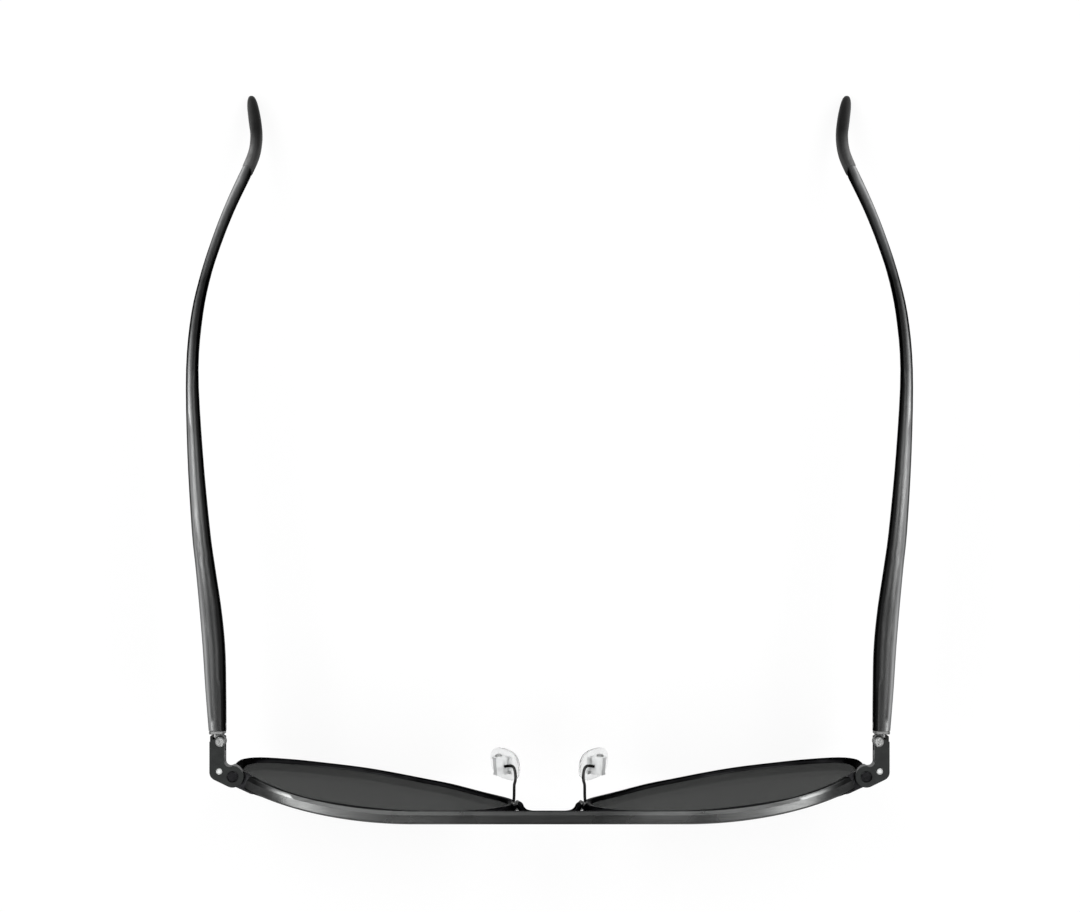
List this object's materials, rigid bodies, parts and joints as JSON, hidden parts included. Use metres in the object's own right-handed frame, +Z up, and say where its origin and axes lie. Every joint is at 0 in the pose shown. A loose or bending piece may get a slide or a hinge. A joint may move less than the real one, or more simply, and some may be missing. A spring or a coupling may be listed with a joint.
{
  "type": "sunglasses",
  "caption": "Pilot-style metal sunglasses with a straight brow bar, curved tinted lenses, a lower bridge, rocking nose pads and spring-hinged temples that fold and flex outward.",
  "frame": {"origin": "on the table under the middle of the open pair", "axes": "+X to the side of the right-hand pieces, the front looks along -Y and the temples run back along +Y, +Z up"},
  "size_m": [0.1478, 0.1499, 0.0481],
  "materials": {
    "bar_metal": "satin brushed, dark",
    "dark_metal": "satin",
    "bracket_metal": "satin",
    "temple_metal": "satin brushed, dark",
    "plain_steel": "satin",
    "bright_metal": "polished",
    "arm_wire": "satin",
    "tinted_lens": "polished",
    "clear_silicone": "clear, satin",
    "insert_plastic": "satin",
    "tip_rubber": "matte"
  },
  "bodies": {
    "front": {"brow_bar": "bar_metal", "lower_bridge": "dark_metal", "rim_left": "dark_metal", "rim_right": "dark_metal", "lens_left": "tinted_lens", "lens_right": "tinted_lens", "rim_screw_left": "dark_metal", "rim_screw_right": "dark_metal", "hinge_bracket_left": "bracket_metal", "hinge_bracket_right": "bracket_metal", "bracket_rivet_left": "bright_metal", "bracket_rivet_right": "bright_metal", "hinge_screw_left": "bright_metal", "hinge_screw_right": "bright_metal", "pad_arm_left": "arm_wire", "pad_arm_right": "arm_wire", "pad_screw_left": "bright_metal", "pad_screw_right": "bright_metal"},
    "slider_left": {"hinge_slider_left": "plain_steel", "spring_nut_left": "plain_steel"},
    "arm_left": {"temple_left": "temple_metal", "temple_tip_left": "tip_rubber", "end_plate_left": "plain_steel", "plug_screw_left": "bright_metal", "flex_spring_left": "plain_steel"},
    "pad_left": {"nose_pad_left": "clear_silicone", "pad_insert_left": "insert_plastic"},
    "slider_right": {"hinge_slider_right": "plain_steel", "spring_nut_right": "plain_steel"},
    "arm_right": {"temple_right": "temple_metal", "temple_tip_right": "tip_rubber", "end_plate_right": "plain_steel", "plug_screw_right": "bright_metal", "flex_spring_right": "plain_steel"},
    "pad_right": {"nose_pad_right": "clear_silicone", "pad_insert_right": "insert_plastic"}
  },
  "joints": [
    {"name": "fold_left", "type": "hinge", "parent": "front", "child": "slider_left", "pos_m": [-0.0665, -0.0588, 0.0386], "axis": [0, 0, -1], "range_deg": [-8, 89]},
    {"name": "flex_left", "type": "slide", "parent": "slider_left", "child": "arm_left", "axis": [0, 1, 0], "range_m": [0, 0.0005], "stiffness_N_per_m": 3000, "springref_m": -0.0005, "deforming": ["flex_spring_left"]},
    {"name": "pad_rock_left", "type": "hinge", "parent": "front", "child": "pad_left", "pos_m": [-0.01026, -0.06431, 0.0295], "axis": [-0.0698, 0.9925, 0.1008], "range_deg": [-8, 8]},
    {"name": "fold_right", "type": "hinge", "parent": "front", "child": "slider_right", "pos_m": [0.0665, -0.0588, 0.0386], "axis": [0, 0, 1], "range_deg": [-8, 83]},
    {"name": "flex_right", "type": "slide", "parent": "slider_right", "child": "arm_right", "axis": [0, 1, 0], "range_m": [0, 0.0005], "stiffness_N_per_m": 3000, "springref_m": -0.0005, "deforming": ["flex_spring_right"]},
    {"name": "pad_rock_right", "type": "hinge", "parent": "front", "child": "pad_right", "pos_m": [0.01026, -0.06431, 0.0295], "axis": [0.0698, 0.9925, 0.1008], "range_deg": [-8, 8]}
  ]
}
